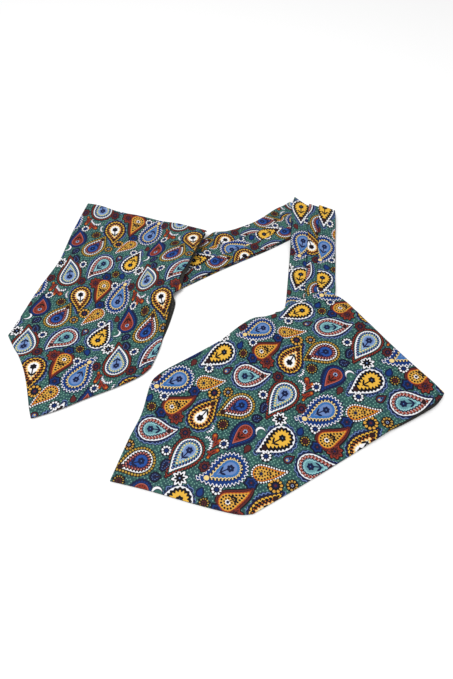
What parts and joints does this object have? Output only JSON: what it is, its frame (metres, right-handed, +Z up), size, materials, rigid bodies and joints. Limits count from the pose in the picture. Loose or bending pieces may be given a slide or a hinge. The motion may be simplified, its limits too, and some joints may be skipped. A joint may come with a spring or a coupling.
{
  "type": "silk cravat",
  "caption": "Printed silk cravat laid out flat: wide pointed blades joined by a pleated neckband folded over at its corner.",
  "frame": {"origin": "middle of the laid-out cravat's footprint, on the surface that it lies on", "axes": "+X to the right of the picture, towards the folded corner of the neckband, +Y away from the viewer, +Z up from the surface"},
  "size_m": [0.4222, 0.382, 0.0099],
  "materials": {
    "printed_silk": "printed silk twill, soft satin sheen",
    "grey_silk": "plain charcoal silk, matt satin"
  },
  "bodies": {
    "root": {"near_blade_face": "printed_silk", "near_blade_back": "grey_silk", "near_blade_turned_top": "grey_silk", "far_blade_face": "printed_silk", "far_blade_back": "grey_silk", "far_blade_turned_top": "grey_silk", "far_stretch_pleat_1": "printed_silk", "far_stretch_pleat_2": "printed_silk", "far_stretch_pleat_3": "printed_silk", "near_stretch_pleat_1": "printed_silk", "near_stretch_pleat_2": "printed_silk", "near_stretch_pleat_3": "printed_silk"}
  },
  "joints": []
}
